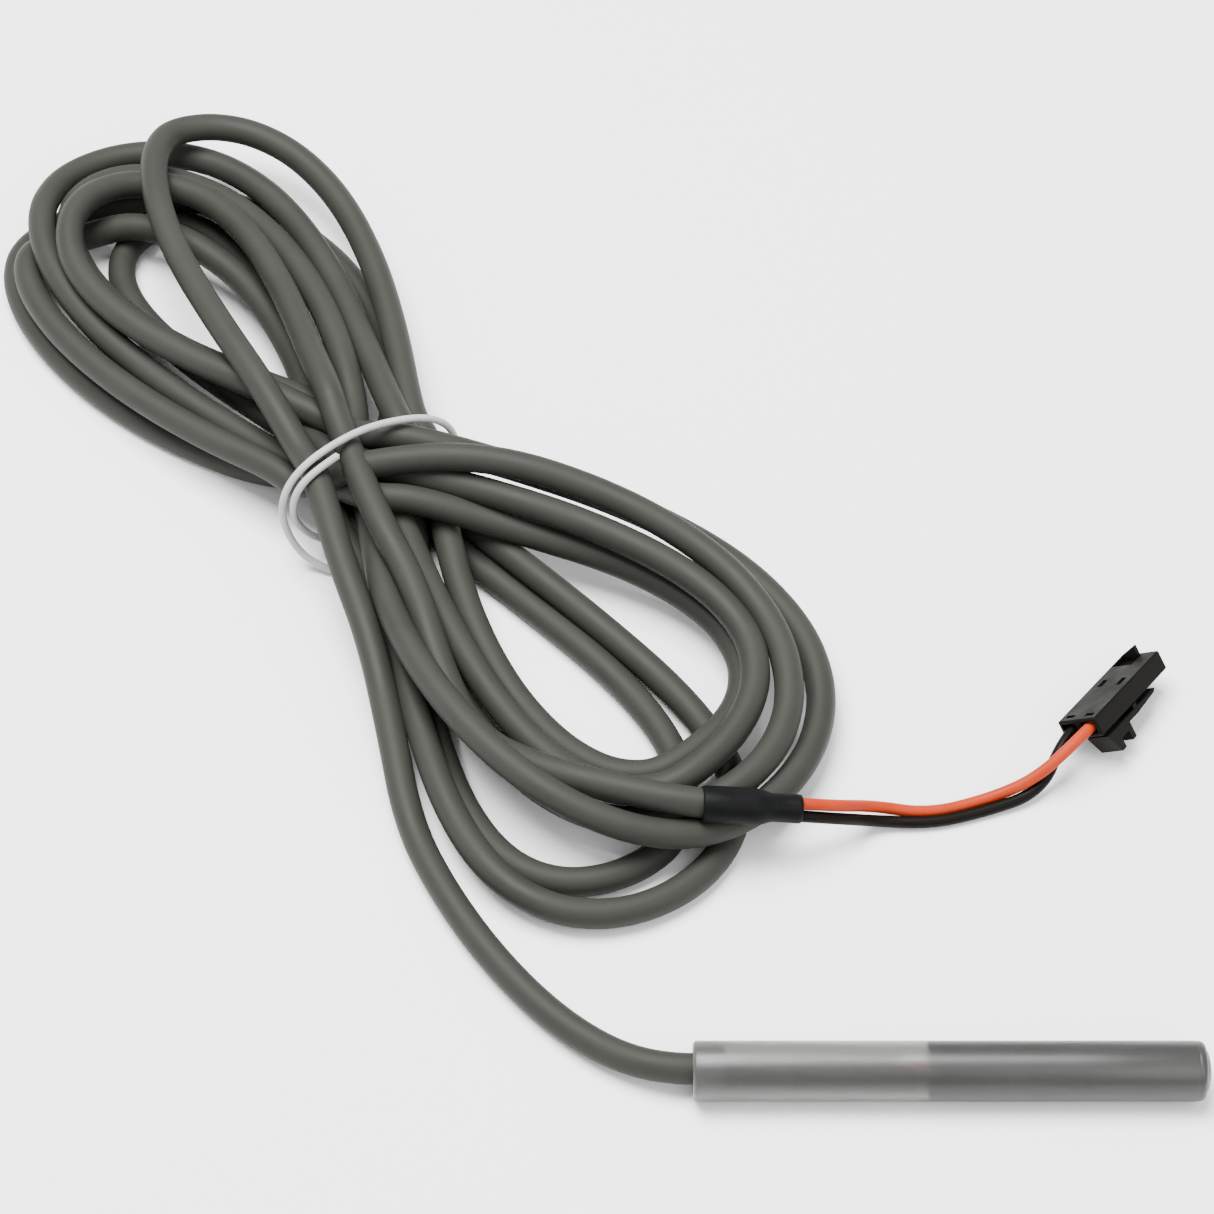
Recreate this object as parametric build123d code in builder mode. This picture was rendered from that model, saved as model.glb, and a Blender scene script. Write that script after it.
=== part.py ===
"""Temperature probe: a plastic capsule with a thermistor in it, on a hanked two-core lead with a plug.

Millimetres. The probe lies along X with its closed end towards +X. The origin is on the surface that
everything rests on, under the middle of the probe.
"""

import os
from math import cos, radians, sin, tan

from build123d import *

os.makedirs("parts", exist_ok=True)

# Capsule
PROBE_LENGTH = 81.0
PROBE_RADIUS = 4.75
PROBE_WALL = 0.75
MOUTH_X = -PROBE_LENGTH / 2
TIP_X = PROBE_LENGTH / 2
AXIS_Z = PROBE_RADIUS
BORE_RADIUS = PROBE_RADIUS - PROBE_WALL
SEAM_X = 38.3
DOME_RISE = 0.7
DOME_RADIUS_ACROSS = 3.45
MENISCUS_DEPTH = 0.6
BORE_END_X = 39.4
POTTING_X = -3.75
BORE_CORNER = 1.4
MOUTH_EDGE = 0.4
SEAM_HALF_WIDTH = 0.2
SEAM_DEPTH = 0.15
CAP_STEP = 0.05
SEAL_START_X = MOUTH_X + MOUTH_EDGE
SEAL_LENGTH = 4.5

# Small clearance between pieces that slide into each other, and how far a cut runs past its piece
FIT = 0.02
OVERRUN = 0.1

# Cable: a round jacket over two cores
CABLE_RADIUS = 2.5
JACKET_BORE_RADIUS = 1.9
JACKET_END_X = -7.3
NOTCH_X = -12.8
NOTCH_TILT = 50.0
CORE_RADIUS = 0.85
CORE_Y = 0.9
COPPER_RADIUS = 0.35
COPPER_LENGTH = 3.0

# Thermistor and its splices; each core ends at its own place so that the splices lie past each other
CORE_END_X = {"orange": 1.0, "black": 11.0}
CORE_SIDE = {"orange": 1, "black": -1}
FERRULE_RADIUS = 0.7
FERRULE_GAP = 0.5
FERRULE_LENGTH = 6.0
SLEEVING_RADIUS = 0.9
SLEEVING_LENGTH = 7.5
SENSOR_LEAD_RADIUS = 0.15
BEAD_REAR_X = 31.2
BEAD_FRONT_X = 35.8
SENSOR_LEAD_END_X = 33.0
BEAD_RADIUS = 1.4

# Cable from the capsule to the hank, lying on the surface and rising to the tie
TAIL_POINTS = [
    (-40.5, 0.0, 4.75),
    (-51.0, 2.6, 3.6),
    (-61.5, 10.5, 2.6),
    (-71.5, 22.0, 2.5),
    (-80.0, 35.5, 2.5),
    (-86.5, 50.0, 2.5),
    (-89.5, 67.0, 2.7),
    (-93.0, 83.5, 4.8),
    (-98.0, 98.0, 9.0),
]

# Hank: two rings of turns, pinched to a waist by the twist tie
HANK_HEIGHT = 10.0
WAIST_CENTRE = (-95.5, 121.5)
WAIST_HEADING = -55.0
WAIST_WIDTH = 33.0
WAIST_BOTTOM = 1.8
WAIST_HEIGHT = 17.0
WAIST_LENGTH = 28.0
WAIST_CORNER = 8.0
UPPER_RING_OUTSIDE = [
    (-88, 134),
    (-85, 160),
    (-94, 186),
    (-110, 207),
    (-130, 221),
    (-146, 214),
    (-163, 195),
    (-165, 171),
    (-154, 146),
    (-130, 131),
    (-106, 119),
]
UPPER_RING_INSIDE = [
    (-108, 147),
    (-112, 160),
    (-122, 174),
    (-137, 183),
    (-147, 180),
    (-140, 160),
    (-120, 142),
]
LOWER_RING_OUTSIDE = [
    (-103, 108),
    (-97, 88),
    (-93, 68),
    (-86, 48),
    (-72, 30),
    (-54, 24),
    (-38, 33),
    (-20, 54),
    (-13, 76),
    (-22, 101),
    (-46, 121),
    (-84, 127),
]
LOWER_RING_INSIDE = [(-80, 107), (-60, 94), (-45, 79), (-41, 67), (-50, 62), (-62, 67), (-74, 87)]

# Twist tie: a wire in a plastic coat, once round the waist and past itself.
# Each point is (across the waist, along it, height).
TIE_RADIUS = 0.65
TIE_WIRE_RADIUS = 0.22
TIE_GROOVE = 4.6
TIE_POINTS = [
    (-3.0, 1.5, 20.2),
    (-12.0, 1.4, 20.4),
    (-18.6, 1.2, 13.5),
    (-18.2, 1.0, 4.5),
    (-11.0, 0.4, 0.9),
    (11.0, 0.0, 0.9),
    (18.2, -0.4, 4.5),
    (18.6, -0.7, 13.5),
    (11.0, -0.9, 20.0),
    (-9.5, -1.0, 20.0),
    (-18.0, -1.1, 15.5),
    (-18.6, -1.2, 7.0),
    (-15.5, -1.2, 2.2),
]

# Cable from the waist over the lower ring to the heat-shrink sleeve
RUN_POINTS = [
    (-93.0, 105.0, 11.5),
    (-88.5, 91.0, 8.5),
    (-83.5, 76.0, 7.5),
    (-76.0, 62.5, 9.5),
    (-64.5, 53.5, 12.5),
    (-52.0, 49.0, 13.3),
    (-38.7, 46.1, 13.0),
]

# Heat-shrink sleeve from the jacket down onto the two leads
SLEEVE_START = (-38.7, 46.1, 13.0)
SLEEVE_END = (-22.4, 47.0, 10.5)
SLEEVE_RADIUS = 3.1
SLEEVE_NECK_RADIUS = 2.3
SLEEVE_NECK_START = 10.4
CABLE_END_DEPTH = 9.0
SLEEVE_LIP = 0.15

# Single leads from the sleeve to the plug; their last two points lie on the plug's cavities
LEAD_RADIUS = 1.0
LEAD_ROUTES = {
    "orange": [
        (-27.3, 47.5, 11.9),
        (-18.0, 47.8, 10.3),
        (-10.0, 53.6, 2.8),
        (-1.0, 53.1, 1.1),
        (9.3, 56.3, 1.1),
        (17.1, 58.2, 4.2),
    ],
    "black": [
        (-27.3, 45.9, 10.6),
        (-18.0, 47.0, 8.1),
        (-10.0, 51.3, 1.7),
        (-1.0, 51.1, 1.2),
        (7.0, 53.2, 1.05),
        (18.0, 57.2, 1.6),
    ],
}
LEAD_ENTRY_X = -2.5
LEAD_END_X = 5.0
LEAD_COPPER_RADIUS = 0.45
LEAD_COPPER_END_X = 8.2

# Plug: its frame stands on the rear end of the top face's raised long edge, X towards the mating end,
# Y across the top face, Z out of it
PLUG_ORIGIN = (26.5, 65.5, 11.0)
PLUG_HEADING = 54.0
PLUG_NOSE_DOWN = 8.0
PLUG_ROLL = 39.6
PLUG_LENGTH = 21.2
PLUG_WIDTH = 8.2
PLUG_HEIGHT = 3.6
PLUG_EDGE = 0.25
CAVITY_Y = {"orange": 2.05, "black": 6.15}
CAVITY_Z = -PLUG_HEIGHT / 2
CAVITY_WIDTH = 2.9
CAVITY_HEIGHT = 2.5
CAVITY_LENGTH = 17.0
CONTACT_MOUTH = 1.3
WINDOW_X = 11.8
WINDOW_LENGTH = 2.2
WINDOW_WIDTH = 1.0
REAR_SLOT_X = 1.5
REAR_SLOT_LENGTH = 0.8
REAR_SLOT_WIDTH = 1.8
RECESS_X = (17.2, 20.4)
RECESS_Y = (3.3, 7.7)
RECESS_DEPTH = 1.0
RIDGE_THICKNESS = 0.8
RIDGE_PEAK_Y = 4.2
RIDGE_HEIGHT = 1.7
RIDGE_ROOT = 0.5

# Latch lever under the housing, rocking on a web half way along
LATCH_PIVOT_X = 10.0
LATCH_TOP_Z = -4.35
LATCH_BOTTOM_Z = -5.35
LATCH_FRONT_X = 16.2
LATCH_NOSE_LENGTH = 0.7
LATCH_NOSE_RISE = 0.5
LATCH_REAR_X = 1.0
LATCH_WIDTH = 4.6
THUMB_BOTTOM_Z = -8.2
THUMB_REAR_X = 2.7
THUMB_FRONT_X = 7.2
THUMB_FLOOR = 1.1
THUMB_POCKET_X = 5.0
THUMB_POCKET_LENGTH = 2.2
WEB_LENGTH = 1.0
WEB_CLEARANCE = 0.06

# Crimp terminals
TERMINAL_BOX = 1.9
TERMINAL_WALL = 0.25
TERMINAL_REAR_X = 3.4
TERMINAL_BOX_X = 10.2
TERMINAL_FRONT_X = 16.8
CRIMP_LENGTH = 1.4
WIRE_CRIMP_X = 5.9
WIRE_CRIMP_LENGTH = 1.8
CRIMP_WALL = 0.2
FLOOR_WIDTH = 1.4

# Share of a cord's shorter run that the arc at its corner takes
ARC_SHARE = 0.45


def corner_radii(points):
    """Arc at each corner that takes the same share of the shorter of its two runs."""
    radii = []
    for before, corner, after in zip(points, points[1:], points[2:]):
        run_in = Vector(*corner) - Vector(*before)
        run_out = Vector(*after) - Vector(*corner)
        half_turn = run_in.get_angle(run_out) / 2
        radii.append(ARC_SHARE * min(run_in.length, run_out.length) / tan(radians(half_turn)))
    return radii


def cord_tube(name, points, radius, bore=0.0):
    """Round tube along straight runs joined by tangent arcs; prints what shows that it came out whole."""
    radii = corner_radii(points)
    start = Plane(origin=points[0], z_dir=Vector(*points[1]) - Vector(*points[0]))
    with BuildPart() as tube:
        with BuildLine() as route:
            FilletPolyline(*points, radius=radii)
        with BuildSketch(start) as section:
            Circle(radius)
            if bore:
                Circle(bore, mode=Mode.SUBTRACT)
        sweep(path=route.wires()[0])
    length = sum(edge.length for edge in route.edges())
    print(name, "radii", [round(r, 1) for r in radii], "length", round(length, 1))
    expected_volume = section.sketch.area * length
    print(name, "volume", round(tube.part.volume, 1), "section x length", round(expected_volume, 1))
    return tube


def finish(builder, name):
    """Label a finished piece and write its STEP file."""
    builder.part.label = name
    export_step(builder.part, f"parts/{name}.step")


def cap_radius(across, rise):
    """Radius of the sphere whose cap is this far across from its axis, and this high."""
    return (across**2 + rise**2) / (2 * rise)


def probe_rod(start_x, end_x, y, radius, bore=0.0):
    """Round rod or tube along the capsule's axis, clear of the cable outside it."""
    with BuildPart() as rod:
        with BuildSketch(Plane.YZ.offset(start_x)):
            with Locations((y, AXIS_Z)):
                Circle(radius)
                if bore:
                    Circle(bore, mode=Mode.SUBTRACT)
        extrude(amount=end_x - start_x)
        if start_x == MOUTH_X:
            add(probe_tail.part, mode=Mode.SUBTRACT)
    return rod


PROBE_AXIS = Axis((0, 0, AXIS_Z), (1, 0, 0))
PROBE_SECTION = Plane(origin=(0, 0, AXIS_Z), x_dir=(1, 0, 0), z_dir=(0, -1, 0))

# ---- Uncoiled cable, each stretch a tube

probe_tail = cord_tube("probe_tail", TAIL_POINTS, CABLE_RADIUS)
finish(probe_tail, "probe_tail")

cable_run = cord_tube("cable_run", RUN_POINTS, CABLE_RADIUS)
finish(cable_run, "cable_run")

# ---- Capsule

with BuildPart() as probe_sheath:
    with BuildSketch(PROBE_SECTION):
        with BuildLine():
            wall = Polyline(
                (BORE_END_X, 0),
                (BORE_END_X, BORE_RADIUS - BORE_CORNER),
                (BORE_END_X - BORE_CORNER, BORE_RADIUS),
                (MOUTH_X, BORE_RADIUS),
                (MOUTH_X, PROBE_RADIUS - MOUTH_EDGE),
                (MOUTH_X + MOUTH_EDGE, PROBE_RADIUS),
                (SEAM_X - SEAM_HALF_WIDTH, PROBE_RADIUS),
                (SEAM_X, PROBE_RADIUS - SEAM_DEPTH),
                (SEAM_X + SEAM_HALF_WIDTH, PROBE_RADIUS - CAP_STEP),
                (TIP_X - DOME_RISE, DOME_RADIUS_ACROSS),
            )
            dome = RadiusArc(wall @ 1, (TIP_X, 0), cap_radius(DOME_RADIUS_ACROSS, DOME_RISE))
            Line(dome @ 1, wall @ 0)
        make_face()
    revolve(axis=PROBE_AXIS)
finish(probe_sheath, "probe_sheath")

with BuildPart() as entry_seal:
    with BuildSketch(Plane.YZ.offset(SEAL_START_X)):
        with Locations((0, AXIS_Z)):
            Circle(BORE_RADIUS)
            Circle(CABLE_RADIUS, mode=Mode.SUBTRACT)
    extrude(amount=SEAL_LENGTH)
finish(entry_seal, "entry_seal")

# ---- The cable's end inside the capsule, with a notch cut in the jacket to free the cores

notch_tilt = radians(NOTCH_TILT)
notch_plane = Plane(origin=(0, 0, AXIS_Z), x_dir=(1, 0, 0), z_dir=(0, -cos(notch_tilt), sin(notch_tilt)))

with BuildPart() as cable_jacket_end:
    with BuildSketch(Plane.YZ.offset(MOUTH_X)):
        with Locations((0, AXIS_Z)):
            Circle(CABLE_RADIUS)
            Circle(JACKET_BORE_RADIUS, mode=Mode.SUBTRACT)
    extrude(amount=JACKET_END_X - MOUTH_X)
    with BuildSketch(notch_plane):
        with BuildLine():
            Polyline(
                (NOTCH_X, 0),
                (JACKET_END_X + OVERRUN, CABLE_RADIUS + OVERRUN),
                (JACKET_END_X + OVERRUN, -CABLE_RADIUS - OVERRUN),
                close=True,
            )
        make_face()
    extrude(amount=CABLE_RADIUS + OVERRUN, both=True, mode=Mode.SUBTRACT)
    add(probe_tail.part, mode=Mode.SUBTRACT)
finish(cable_jacket_end, "cable_jacket_end")

# ---- Cores, splices and thermistor

potted_pieces = []
sensor_leads = []
for colour, side in CORE_SIDE.items():
    core_y = side * CORE_Y
    core_end = CORE_END_X[colour]
    copper_end = core_end + COPPER_LENGTH
    ferrule_start = core_end + FERRULE_GAP
    ferrule_end = ferrule_start + FERRULE_LENGTH
    sleeving_end = core_end + SLEEVING_LENGTH
    core = probe_rod(MOUTH_X, core_end, core_y, CORE_RADIUS, COPPER_RADIUS)
    copper = probe_rod(MOUTH_X, copper_end, core_y, COPPER_RADIUS)
    ferrule = probe_rod(ferrule_start, ferrule_end, core_y, FERRULE_RADIUS, COPPER_RADIUS)
    sleeving = probe_rod(core_end, sleeving_end, core_y, SLEEVING_RADIUS - FIT, FERRULE_RADIUS + FIT)
    sensor_lead = probe_rod(copper_end, SENSOR_LEAD_END_X, core_y, SENSOR_LEAD_RADIUS)
    sensor_leads.append(sensor_lead)
    finish(core, f"core_{colour}")
    finish(copper, f"core_copper_{colour}")
    finish(ferrule, f"splice_ferrule_{colour}")
    finish(sleeving, f"splice_sleeving_{colour}")
    finish(sensor_lead, f"thermistor_lead_{colour}")
    potted_pieces += [core, copper, ferrule, sleeving, sensor_lead]

with BuildPart() as thermistor_bead:
    with BuildSketch(PROBE_SECTION):
        with BuildLine():
            rear_top = (BEAD_REAR_X + BEAD_RADIUS, BEAD_RADIUS)
            front_top = (BEAD_FRONT_X - BEAD_RADIUS, BEAD_RADIUS)
            rear_end = RadiusArc((BEAD_REAR_X, 0), rear_top, BEAD_RADIUS)
            front_end = RadiusArc(front_top, (BEAD_FRONT_X, 0), BEAD_RADIUS)
            Line(rear_end @ 1, front_end @ 0)
            Line(front_end @ 1, rear_end @ 0)
        make_face()
    revolve(axis=PROBE_AXIS)
    for sensor_lead in sensor_leads:
        add(sensor_lead.part, mode=Mode.SUBTRACT)
finish(thermistor_bead, "thermistor_bead")

with BuildPart() as probe_potting:
    with BuildSketch(PROBE_SECTION):
        with BuildLine():
            fill = Polyline(
                (POTTING_X, BORE_RADIUS),
                (BORE_END_X - BORE_CORNER, BORE_RADIUS),
                (BORE_END_X, BORE_RADIUS - BORE_CORNER),
                (BORE_END_X, 0),
                (POTTING_X + MENISCUS_DEPTH, 0),
            )
            RadiusArc(fill @ 1, fill @ 0, -cap_radius(BORE_RADIUS, MENISCUS_DEPTH))
        make_face()
    revolve(axis=PROBE_AXIS)
    for piece in [*potted_pieces, thermistor_bead]:
        add(piece.part, mode=Mode.SUBTRACT)
finish(probe_potting, "probe_potting")

# ---- Heat-shrink sleeve, with the jacket's end and the two leads inside it

plug_heading = radians(PLUG_HEADING)
plug_nose_down = radians(PLUG_NOSE_DOWN)
plug_roll = radians(PLUG_ROLL)
plug_forward = Vector(
    cos(plug_nose_down) * cos(plug_heading),
    cos(plug_nose_down) * sin(plug_heading),
    -sin(plug_nose_down),
)
plug_level = Vector(sin(plug_heading), -cos(plug_heading), 0)
plug_up = plug_level.cross(plug_forward) * cos(plug_roll) - plug_level * sin(plug_roll)
plug_top = Plane(origin=PLUG_ORIGIN, x_dir=plug_forward, z_dir=plug_up)
plug_across = plug_top.y_dir
plug_rear = Plane(origin=PLUG_ORIGIN, x_dir=plug_across, z_dir=plug_forward)
plug_side = Plane(origin=PLUG_ORIGIN, x_dir=plug_forward, z_dir=-plug_across)


def plug_point(x, y, z):
    """Place of a point given in the plug's own frame."""
    return tuple(Vector(*PLUG_ORIGIN) + plug_forward * x + plug_across * y + plug_up * z)


leads = {}
for colour, route_points in LEAD_ROUTES.items():
    cavity_y = CAVITY_Y[colour]
    entry = plug_point(LEAD_ENTRY_X, cavity_y, CAVITY_Z)
    end = plug_point(LEAD_END_X, cavity_y, CAVITY_Z)
    leads[colour] = cord_tube(f"{colour}_lead", [*route_points, entry, end], LEAD_RADIUS)
    finish(leads[colour], f"{colour}_lead")

sleeve_along = Vector(*SLEEVE_END) - Vector(*SLEEVE_START)
sleeve_length = sleeve_along.length
sleeve_side = Vector(sleeve_along.Y, -sleeve_along.X, 0)
sleeve_section = Plane(origin=SLEEVE_START, x_dir=sleeve_along, z_dir=sleeve_side)
sleeve_mouth = Plane(origin=SLEEVE_START, z_dir=sleeve_along)

with BuildPart() as cable_end:
    with BuildSketch(sleeve_mouth):
        Circle(CABLE_RADIUS)
    extrude(amount=CABLE_END_DEPTH)
    for piece in [cable_run, *leads.values()]:
        add(piece.part, mode=Mode.SUBTRACT)
finish(cable_end, "cable_end")

with BuildPart() as heat_shrink_sleeve:
    with BuildSketch(sleeve_section):
        with BuildLine():
            Polyline(
                (0, 0),
                (0, SLEEVE_RADIUS - SLEEVE_LIP),
                (SLEEVE_LIP, SLEEVE_RADIUS),
                (CABLE_END_DEPTH, SLEEVE_RADIUS),
                (SLEEVE_NECK_START, SLEEVE_NECK_RADIUS),
                (sleeve_length, SLEEVE_NECK_RADIUS),
                (sleeve_length, 0),
                close=True,
            )
        make_face()
    revolve(axis=Axis(SLEEVE_START, sleeve_along))
    with BuildSketch(sleeve_mouth):
        Circle(CABLE_RADIUS)
    extrude(amount=CABLE_END_DEPTH, mode=Mode.SUBTRACT)
    for piece in [cable_run, *leads.values()]:
        add(piece.part, mode=Mode.SUBTRACT)
finish(heat_shrink_sleeve, "heat_shrink_sleeve")

# ---- Twist tie

waist_along = (cos(radians(WAIST_HEADING)), sin(radians(WAIST_HEADING)), 0)
waist_across = (-waist_along[1], waist_along[0], 0)
waist_plane = Plane(origin=(*WAIST_CENTRE, 0), x_dir=waist_across, z_dir=waist_along)
waist_middle_z = WAIST_BOTTOM + WAIST_HEIGHT / 2

tie_route = []
for across, along, height in TIE_POINTS:
    level = Vector(*WAIST_CENTRE, height)
    tie_route.append(tuple(level + Vector(*waist_across) * across + Vector(*waist_along) * along))
tie_coating = cord_tube("tie_coating", tie_route, TIE_RADIUS, TIE_WIRE_RADIUS)
finish(tie_coating, "tie_coating")
tie_wire = cord_tube("tie_wire", tie_route, TIE_WIRE_RADIUS)
finish(tie_wire, "tie_wire")

# ---- Hank

HANK_RINGS = [(UPPER_RING_OUTSIDE, UPPER_RING_INSIDE), (LOWER_RING_OUTSIDE, LOWER_RING_INSIDE)]

with BuildPart() as cable_hank:
    for outside, inside in HANK_RINGS:
        with BuildSketch():
            with BuildLine():
                Spline(*outside, periodic=True)
            make_face()
            with BuildLine():
                Spline(*inside, periodic=True)
            make_face(mode=Mode.SUBTRACT)
        extrude(amount=HANK_HEIGHT)
    with BuildSketch(waist_plane.offset(-WAIST_LENGTH / 2)):
        with Locations((0, waist_middle_z)):
            RectangleRounded(WAIST_WIDTH, WAIST_HEIGHT, WAIST_CORNER)
    extrude(amount=WAIST_LENGTH)
    with BuildSketch(waist_plane.offset(-TIE_GROOVE / 2)):
        with Locations((0, waist_middle_z)):
            Rectangle(3 * WAIST_WIDTH, 3 * WAIST_HEIGHT)
            RectangleRounded(WAIST_WIDTH, WAIST_HEIGHT, WAIST_CORNER, mode=Mode.SUBTRACT)
    extrude(amount=TIE_GROOVE, mode=Mode.SUBTRACT)
    for piece in [probe_tail, cable_run, cable_end, heat_shrink_sleeve, *leads.values(), tie_coating]:
        add(piece.part, mode=Mode.SUBTRACT)
finish(cable_hank, "cable_hank")

# ---- Plug housing

with BuildPart() as connector_housing:
    with BuildSketch(plug_top):
        with Locations((PLUG_LENGTH / 2, PLUG_WIDTH / 2)):
            Rectangle(PLUG_LENGTH, PLUG_WIDTH)
    extrude(amount=-PLUG_HEIGHT)
    chamfer(connector_housing.edges().filter_by(GeomType.LINE), PLUG_EDGE)
    with BuildSketch(plug_rear.offset(PLUG_LENGTH - RIDGE_THICKNESS)):
        with BuildLine():
            Polyline(
                (RIDGE_PEAK_Y, -RIDGE_ROOT),
                (RIDGE_PEAK_Y, RIDGE_HEIGHT),
                (PLUG_WIDTH - PLUG_EDGE, 0),
                (PLUG_WIDTH - PLUG_EDGE, -RIDGE_ROOT),
                close=True,
            )
        make_face()
    extrude(amount=RIDGE_THICKNESS)
    with BuildSketch(plug_top):
        with Locations((sum(RECESS_X) / 2, sum(RECESS_Y) / 2)):
            Rectangle(RECESS_X[1] - RECESS_X[0], RECESS_Y[1] - RECESS_Y[0])
        for cavity_y in CAVITY_Y.values():
            with Locations((REAR_SLOT_X, cavity_y)):
                Rectangle(REAR_SLOT_LENGTH, REAR_SLOT_WIDTH)
    extrude(amount=-RECESS_DEPTH, mode=Mode.SUBTRACT)
    for cavity_y in CAVITY_Y.values():
        with BuildSketch(plug_rear):
            with Locations((cavity_y, CAVITY_Z)):
                Rectangle(CAVITY_WIDTH, CAVITY_HEIGHT)
        extrude(amount=CAVITY_LENGTH, mode=Mode.SUBTRACT)
        with BuildSketch(plug_rear):
            with Locations((cavity_y, CAVITY_Z)):
                Rectangle(CONTACT_MOUTH, CONTACT_MOUTH)
        extrude(amount=PLUG_LENGTH, mode=Mode.SUBTRACT)
        with BuildSketch(plug_top):
            with Locations((WINDOW_X, cavity_y)):
                Rectangle(WINDOW_LENGTH, WINDOW_WIDTH)
        extrude(amount=CAVITY_Z, mode=Mode.SUBTRACT)
    with BuildSketch(plug_side):
        with Locations((LATCH_PIVOT_X, (LATCH_TOP_Z + WEB_CLEARANCE - PLUG_HEIGHT) / 2)):
            Rectangle(WEB_LENGTH, PLUG_HEIGHT + LATCH_TOP_Z + WEB_CLEARANCE)
    extrude(amount=-LATCH_WIDTH)
finish(connector_housing, "connector_housing")

# ---- Latch lever

pocket_top_z = LATCH_BOTTOM_Z - THUMB_FLOOR

with BuildPart() as latch_lever:
    with BuildSketch(plug_side):
        with BuildLine():
            Polyline(
                (LATCH_REAR_X, LATCH_TOP_Z),
                (THUMB_REAR_X, THUMB_BOTTOM_Z),
                (THUMB_FRONT_X, THUMB_BOTTOM_Z),
                (THUMB_FRONT_X, LATCH_BOTTOM_Z),
                (LATCH_PIVOT_X, LATCH_BOTTOM_Z),
                (LATCH_FRONT_X - LATCH_NOSE_LENGTH, LATCH_BOTTOM_Z + LATCH_NOSE_RISE),
                (LATCH_FRONT_X, LATCH_TOP_Z),
                close=True,
            )
        make_face()
    extrude(amount=-LATCH_WIDTH)
    with BuildSketch(plug_side):
        with Locations((THUMB_POCKET_X, (THUMB_BOTTOM_Z + pocket_top_z) / 2)):
            Rectangle(THUMB_POCKET_LENGTH, pocket_top_z - THUMB_BOTTOM_Z)
    extrude(amount=-LATCH_WIDTH, mode=Mode.SUBTRACT)
finish(latch_lever, "latch_lever")

# ---- Crimp terminals and the leads' stripped ends

box_inside = 2 * (LEAD_RADIUS - FIT)

for colour, cavity_y in CAVITY_Y.items():
    with BuildPart() as lead_copper:
        with BuildSketch(plug_rear.offset(LEAD_END_X)):
            with Locations((cavity_y, CAVITY_Z)):
                Circle(LEAD_COPPER_RADIUS)
        extrude(amount=LEAD_COPPER_END_X - LEAD_END_X)
    finish(lead_copper, f"lead_copper_{colour}")

    with BuildPart() as terminal:
        with BuildSketch(plug_rear.offset(TERMINAL_REAR_X)):
            with Locations((cavity_y, CAVITY_Z - LEAD_RADIUS - TERMINAL_WALL / 2 + FIT)):
                Rectangle(FLOOR_WIDTH, TERMINAL_WALL)
        extrude(amount=TERMINAL_FRONT_X - TERMINAL_REAR_X)
        with BuildSketch(plug_rear.offset(TERMINAL_REAR_X)):
            with Locations((cavity_y, CAVITY_Z)):
                Circle(LEAD_RADIUS + CRIMP_WALL)
                Circle(LEAD_RADIUS + FIT, mode=Mode.SUBTRACT)
        extrude(amount=CRIMP_LENGTH)
        with BuildSketch(plug_rear.offset(WIRE_CRIMP_X)):
            with Locations((cavity_y, CAVITY_Z)):
                Circle(LEAD_RADIUS + CRIMP_WALL)
                Circle(LEAD_COPPER_RADIUS + FIT, mode=Mode.SUBTRACT)
        extrude(amount=WIRE_CRIMP_LENGTH)
        with BuildSketch(plug_rear.offset(TERMINAL_BOX_X)):
            with Locations((cavity_y, CAVITY_Z)):
                Rectangle(TERMINAL_BOX, box_inside + 2 * TERMINAL_WALL)
                Rectangle(TERMINAL_BOX - 2 * TERMINAL_WALL, box_inside, mode=Mode.SUBTRACT)
        extrude(amount=TERMINAL_FRONT_X - TERMINAL_BOX_X)
    finish(terminal, f"terminal_{colour}")
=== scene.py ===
import math

import bmesh
import bpy
import numpy as np
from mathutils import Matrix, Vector, noise


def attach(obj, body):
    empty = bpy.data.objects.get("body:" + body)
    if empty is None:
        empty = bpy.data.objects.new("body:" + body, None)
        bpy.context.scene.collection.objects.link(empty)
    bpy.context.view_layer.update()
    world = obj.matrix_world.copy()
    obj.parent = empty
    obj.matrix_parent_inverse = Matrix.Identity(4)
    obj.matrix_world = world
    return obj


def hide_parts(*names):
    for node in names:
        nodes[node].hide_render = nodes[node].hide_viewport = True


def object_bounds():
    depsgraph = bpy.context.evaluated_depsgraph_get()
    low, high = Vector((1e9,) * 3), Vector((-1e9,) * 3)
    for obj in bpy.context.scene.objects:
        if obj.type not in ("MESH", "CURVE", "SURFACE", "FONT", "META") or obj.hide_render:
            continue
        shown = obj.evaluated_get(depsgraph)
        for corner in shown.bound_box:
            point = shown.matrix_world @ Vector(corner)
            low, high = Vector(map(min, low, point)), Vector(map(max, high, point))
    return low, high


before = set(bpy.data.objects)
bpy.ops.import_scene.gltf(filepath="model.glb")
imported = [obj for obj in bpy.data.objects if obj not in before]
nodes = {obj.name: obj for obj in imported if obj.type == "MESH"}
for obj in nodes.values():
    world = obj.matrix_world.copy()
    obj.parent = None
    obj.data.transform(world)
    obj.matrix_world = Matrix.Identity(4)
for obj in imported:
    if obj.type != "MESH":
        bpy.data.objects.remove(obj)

CAD_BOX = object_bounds()
MM = 0.001
BODY = "root"

# Camera: a long lens above and in front of the probe, its line of sight 40 degrees off the vertical
CAMERA_PLACE = (-0.0539, -0.37226, 0.56119)
CAMERA_PITCH = 40.0
CAMERA_LENS = 126.31
SENSOR_WIDTH = 36.0
CAMERA_NEAR = 0.01

# Cable and leads, as in the design: sizes and points in millimetres, lengths in metres
CABLE_RADIUS = 2.5
LEAD_RADIUS = 1.0
CORD_RESOLUTION = 8

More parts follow.
